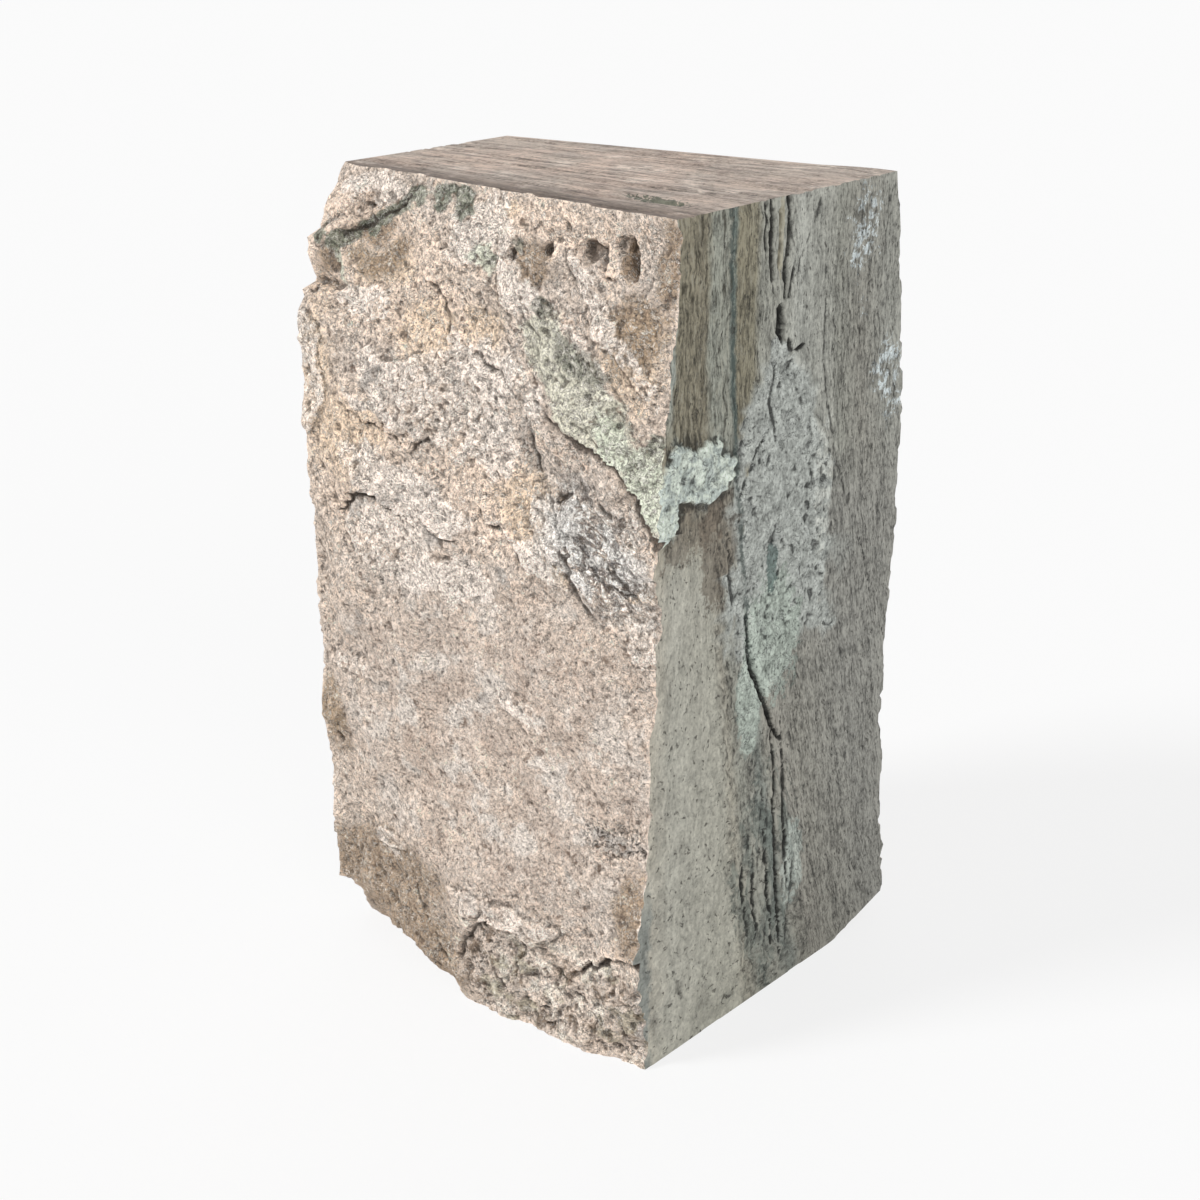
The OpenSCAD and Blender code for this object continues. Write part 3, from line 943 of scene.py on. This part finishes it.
# Painted shade: the open slots are darkened almost to black.
shade = blend(shade, colour(30, 30, 27), attribute("slot") * (1.0 - edge_crust) * 0.95)
relief = thin_streak * 0.7 + scratch * 0.6 + wide_streak * 0.5 - pore * 0.6
relief = relief + crumb * (crusted * 0.6 + 0.5) + curl.step(0.49, 0.53) * crusted * 0.7
finish(end_stone, shade, 0.85 - wide_streak * 0.1, relief, 1.1)

# ---------------------------------------------------------------------------
# The stone of the sawn top and base: cut along the length of the beds, which
# show as long warm taupe streaks that close up towards the left end.
# ---------------------------------------------------------------------------
top_stone, where = stone("sawn_top")
x, y, z = coordinates(where)
bend = cloud(where, 90.0, 3.0) - 0.5
waver = cloud(where, 18.0, 3.0) - 0.5
bed = bedding(x, y, z * 0.0 + block_h) + bend * 9.0 + waver * 5.0
crumb = cloud(where, 3.0, 4.0, 0.6)
flake = cloud(where, 10.0, 5.0)
wide_streak = banded(bed, z, x, 9.0, 110.0)
thin_streak = banded(bed, z, x, 3.0, 36.0)
scratch = banded(bed, z, x, 1.7, 10.0, 3.0)
tint = blend(colour(185, 167, 154), colour(173, 160, 149), cloud(where, 70.0).step(0.4, 0.6))
tint = blend(tint, colour(160, 148, 138), x.step(40.0, 180.0) * 0.6)
tint = blend(tint, colour(113, 101, 92), bed.step(46.0, 10.0) * 0.95)
tint = blend(tint, colour(214, 200, 188), cloud(where, 34.0, 4.0).step(0.56, 0.66) * 0.5)
# The open void is painted dark green-grey: painted shade in the hollow, with the green of a growth in it.
void = patch(x, y, (120, -80), (32, 9), (crumb - 0.5) * 2.4)
tint = blend(tint, colour(88, 94, 80), void * 0.85)
light = (wide_streak - 0.5) * 2.3 + (thin_streak - 0.5) * 1.2 + (scratch - 0.5) * 1.3 + 1.0
# Painted shade in the hollows.
light = light + (crumb - 0.5) * 1.4 + (flake - 0.5) * 1.1 - attribute("hollow_fine").step(0.1, 0.8) * 0.7
shade = blend(tint, light.over(0.25).under(1.4), 1.0, "MULTIPLY")
shade = blend(shade, colour(98, 88, 80), thin_streak.step(0.42, 0.35) * 0.55)
relief = thin_streak * 0.6 + wide_streak * 0.5 + crumb * 0.5 + scratch * 0.4
finish(top_stone, shade, 0.85 - wide_streak * 0.1, relief, 0.7)

for material in (bed_stone, end_stone, top_stone):
    mesh.materials.append(material)

# Each side is laid flat on one sheet: scale, left and low corner.
sheet_mm = 1330.0
layout = {
    "front": (1.25, 5.0, 5.0), "right": (1.25, 475.0, 5.0),
    "back": (0.85, 965.0, 5.0), "left": (0.85, 965.0, 640.0),
    "top": (1.0, 5.0, 925.0), "base": (1.0, 385.0, 925.0),
}
sheet = mesh.uv_layers.new(name="OFBake")
corner = np.empty(len(mesh.loops), dtype=np.int32)
mesh.loops.foreach_get("vertex_index", corner)
face_kind = np.empty(len(mesh.polygons), dtype=np.int32)
mesh.polygons.foreach_get("material_index", face_kind)
face_centre = np.empty(len(mesh.polygons) * 3)
mesh.polygons.foreach_get("center", face_centre)
face_centre = face_centre.reshape(-1, 3) * METRE
face_size = np.empty(len(mesh.polygons), dtype=np.int32)
mesh.polygons.foreach_get("loop_total", face_size)
kind = np.repeat(face_kind, face_size)
centre = np.repeat(face_centre, face_size, axis=0)
point = spot.reshape(-1, 3)[corner] * METRE - block_low
middle_y = top_front_y + top_depth_left / 2
sides = {
    "front": ((kind == 0) & (centre[:, 1] < middle_y), 0, 2),
    "back": ((kind == 0) & (centre[:, 1] >= middle_y), 0, 2),
    "right": ((kind == 1) & (centre[:, 0] > 0.0), 1, 2),
    "left": ((kind == 1) & (centre[:, 0] <= 0.0), 1, 2),
    "top": ((kind == 2) & (centre[:, 2] > block_h / 2), 0, 1),
    "base": ((kind == 2) & (centre[:, 2] <= block_h / 2), 0, 1),
}
laid = np.zeros((len(corner), 2))
for side, (chosen, first, second) in sides.items():
    scale, left, low = layout[side]
    flat = point[:, [first, second]] * scale + (left, low)
    laid = np.where(chosen[:, None], flat, laid)
sheet.data.foreach_set("uv", (laid / sheet_mm).ravel())

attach(block, "root")
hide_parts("block")

# ---------------------------------------------------------------------------
# The floor: plain and pale. It shows near white and keeps a soft shadow.
# ---------------------------------------------------------------------------
bm = bmesh.new()
bmesh.ops.create_grid(bm, x_segments=1, y_segments=1, size=30.0)
floor_mesh = bpy.data.meshes.new("floor")
bm.to_mesh(floor_mesh)
bm.free()
floor = bpy.data.objects.new("floor", floor_mesh)
bpy.context.scene.collection.objects.link(floor)
paint = bpy.data.materials.new("floor_paint")
paint.use_nodes = True
Tint.tree = paint.node_tree
paint_surface = paint.node_tree.nodes["Principled BSDF"]
paint_surface.inputs["Base Color"].default_value = (0.9, 0.9, 0.9, 1.0)
paint_surface.inputs["Roughness"].default_value = 1.0
paint_surface.inputs["Specular IOR Level"].default_value = 0.0


def plainly_seen():
    """1 for a ray that shows the surface itself: from the camera, a gloss or a clear body."""
    rays = [Tint.node("ShaderNodeLightPath", output=kind) for kind in (
        "Is Camera Ray", "Is Glossy Ray", "Is Transmission Ray",
    )]
    return (rays[0] + rays[1] + rays[2]).under(1.0)


seen = plainly_seen()
glow = Tint.node("ShaderNodeEmission", {}, {"Color": (1.0, 1.0, 1.0, 1.0), "Strength": 1.0})
matt = Tint(paint_surface.outputs[0])
whitened = Tint.node("ShaderNodeMixShader", {}, {0: seen * 0.8, 1: matt, 2: glow})
Tint.tree.links.new(whitened.socket, paint.node_tree.nodes["Material Output"].inputs["Surface"])
floor_mesh.materials.append(paint)

# ---------------------------------------------------------------------------
# The camera stands to the right of the front, a little above the block's top.
# ---------------------------------------------------------------------------
camera_data = bpy.data.cameras.new("camera")
camera_data.lens = 55.5
camera_data.sensor_width = 36.0
camera = bpy.data.objects.new("camera", camera_data)
bpy.context.scene.collection.objects.link(camera)
camera.location = (1.0348, -1.1363, 0.9785)
turn, look_down = math.radians(42.6), math.radians(22.7)
camera.rotation_euler = (math.pi / 2 - look_down, 0.0, turn)
bpy.context.scene.camera = camera


# ---------------------------------------------------------------------------
# Soft studio light: a broad key from the upper left of the front, a weaker one
# from the right, and an even white surround.
# ---------------------------------------------------------------------------
def far_lamp(name, towards, power, width_degrees):
    """A broad, distant lamp that shines from the given direction."""
    data = bpy.data.lights.new(name, "SUN")
    data.energy = power
    data.angle = math.radians(width_degrees)
    lamp = bpy.data.objects.new(name, data)
    bpy.context.scene.collection.objects.link(lamp)
    lamp.rotation_euler = Vector(towards).to_track_quat("Z", "Y").to_euler()


far_lamp("key", (-0.38, -0.66, 0.64), 2.1, 14.0)
far_lamp("fill", (0.85, -0.35, 0.40), 0.7, 40.0)
far_lamp("back", (-0.55, 0.75, 0.30), 0.6, 50.0)

world = bpy.data.worlds.new("studio")
bpy.context.scene.world = world
world.use_nodes = True
Tint.tree = world.node_tree
seen = plainly_seen()
surround = world.node_tree.nodes["Background"]
surround.inputs["Color"].default_value = (1.0, 1.0, 1.0, 1.0)
Tint.tree.links.new((seen * 0.645 + 0.32).socket, surround.inputs["Strength"])

bpy.context.scene.view_settings.view_transform = "Standard"
